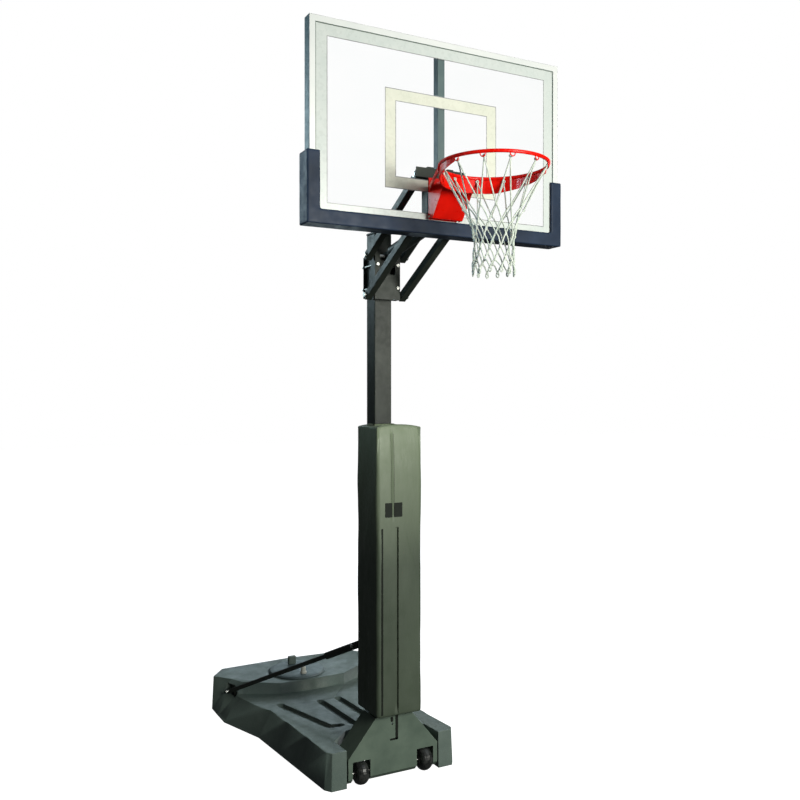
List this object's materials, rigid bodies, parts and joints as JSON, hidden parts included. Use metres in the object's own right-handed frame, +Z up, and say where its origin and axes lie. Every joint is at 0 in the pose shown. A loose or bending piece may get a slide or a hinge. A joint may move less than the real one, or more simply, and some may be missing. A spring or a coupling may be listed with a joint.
{
  "type": "portable basketball hoop",
  "caption": "Portable basketball hoop with a glass backboard on folding lift arms, a sprung rim with a net, a padded square pole and a filled base tank on wheels",
  "frame": {"origin": "on the ground, in the middle of the whole footprint from the rim's front to the tank's back", "axes": "+Z up, the rim side faces -Y, the tank reaches back to +Y, +X is to the right of someone who stands behind the tank and faces the rim's side"},
  "size_m": [1.4, 2.8276, 3.732],
  "materials": {
    "black_steel": "satin black powder coat",
    "tank_plastic": "dark grey blow-moulded plastic, fine grain",
    "ballast_fill": "water or sand fill",
    "wheel_rubber": "hard black tread",
    "zinc_hardware": "zinc plated",
    "pad_vinyl": "dark olive vinyl over foam",
    "edge_pad": "navy moulded foam",
    "frame_aluminium": "pale satin",
    "board_glass": "clear",
    "rim_red": "gloss orange red",
    "net_cord": "white braided cord",
    "white_cap": "off-white"
  },
  "bodies": {
    "stand": {"tank": "tank_plastic", "ballast": "ballast_fill", "tank_lid": "tank_plastic", "lid_grip": "tank_plastic", "tower_bracket": "black_steel", "wheel_axle": "zinc_hardware", "pole": "black_steel", "pole_cap": "black_steel", "pole_foot_bolt": "zinc_hardware", "post_pad": "pad_vinyl", "brace_collar": "black_steel", "brace_bolt_front_left": "zinc_hardware", "brace_bolt_front_right": "zinc_hardware", "brace_sleeve_left": "black_steel", "brace_sleeve_right": "black_steel", "brace_rod_left": "black_steel", "brace_rod_right": "black_steel", "brace_foot_left": "black_steel", "brace_foot_right": "black_steel", "brace_bolt_rear_left": "zinc_hardware", "brace_bolt_rear_right": "zinc_hardware", "arm_bracket": "black_steel", "clamp_plate": "black_steel", "clamp_bolt_lower_left": "zinc_hardware", "clamp_bolt_lower_right": "zinc_hardware", "clamp_bolt_upper_left": "zinc_hardware", "clamp_bolt_upper_right": "zinc_hardware", "lower_rear_pin": "zinc_hardware", "upper_rear_pin": "zinc_hardware"},
    "left_wheel": {"wheel_left": "wheel_rubber"},
    "right_wheel": {"wheel_right": "wheel_rubber"},
    "filler": {"fill_plug": "white_cap"},
    "lower_arms": {"lower_arm_left": "black_steel", "lower_arm_right": "black_steel"},
    "upper_arms": {"upper_arm_left": "black_steel", "upper_arm_right": "black_steel"},
    "board": {"carriage_upright_left": "black_steel", "carriage_upright_right": "black_steel", "cross_bracket_lower": "black_steel", "cross_bracket_upper": "black_steel", "centre_strut": "black_steel", "lower_front_pin": "zinc_hardware", "upper_front_pin": "zinc_hardware", "board_frame": "frame_aluminium", "backboard": "board_glass", "board_pad": "edge_pad", "rim_mount_plate": "rim_red", "rim_bolt_left": "zinc_hardware", "rim_bolt_right": "zinc_hardware", "rim_hinge_pin": "zinc_hardware"},
    "strut_tube": {"lift_strut_tube": "black_steel"},
    "strut_rod": {"lift_strut_rod": "zinc_hardware"},
    "rim": {"rim_housing": "rim_red", "rim_ring": "rim_red", "rim_band": "rim_red", "rim_brace_left": "rim_red", "rim_brace_right": "rim_red", "rim_spring_left": "zinc_hardware", "rim_spring_right": "zinc_hardware", "net": "net_cord"}
  },
  "joints": [
    {"name": "lift", "type": "hinge", "parent": "stand", "child": "lower_arms", "pos_m": [0, -0.1312, 2.578], "axis": [1, 0, 0], "range_deg": [0, 61]},
    {"name": "upper_arms_pivot", "type": "hinge", "parent": "stand", "child": "upper_arms", "pos_m": [0, -0.1312, 2.789], "axis": [1, 0, 0], "range_deg": [0, 61]},
    {"name": "board_level", "type": "hinge", "parent": "lower_arms", "child": "board", "pos_m": [0, -0.68027, 2.88486], "axis": [1, 0, 0], "range_deg": [-61, 0]},
    {"name": "strut_tube_pivot", "type": "hinge", "parent": "stand", "child": "strut_tube", "pos_m": [0, -0.1312, 2.789], "axis": [1, 0, 0], "range_deg": [0, 56.5]},
    {"name": "strut_rod_pivot", "type": "hinge", "parent": "lower_arms", "child": "strut_rod", "pos_m": [0, -0.68027, 2.88486], "axis": [1, 0, 0], "range_deg": [-4.6, 0]},
    {"name": "rim_breakaway", "type": "hinge", "parent": "board", "child": "rim", "pos_m": [0, -0.7512, 2.886], "axis": [1, 0, 0], "range_deg": [0, 25], "stiffness_Nm_per_rad": 900, "springref_deg": -28.65},
    {"name": "left_wheel_spin", "type": "hinge", "parent": "stand", "child": "left_wheel", "pos_m": [-0.19, -0.2062, 0.063], "axis": [1, 0, 0], "continuous": true},
    {"name": "right_wheel_spin", "type": "hinge", "parent": "stand", "child": "right_wheel", "pos_m": [0.19, -0.2062, 0.063], "axis": [1, 0, 0], "continuous": true},
    {"name": "fill_plug_pull", "type": "slide", "parent": "stand", "child": "filler", "axis": [0, 0, 1], "range_m": [0, 0.06]}
  ],
  "couplings": [
    {"joint": "upper_arms_pivot", "follows": "lift", "ratio": 1},
    {"joint": "board_level", "follows": "lift", "ratio": -1},
    {"joint": "strut_tube_pivot", "follows": "lift", "ratio": 0.925},
    {"joint": "strut_rod_pivot", "follows": "lift", "ratio": -0.075}
  ]
}
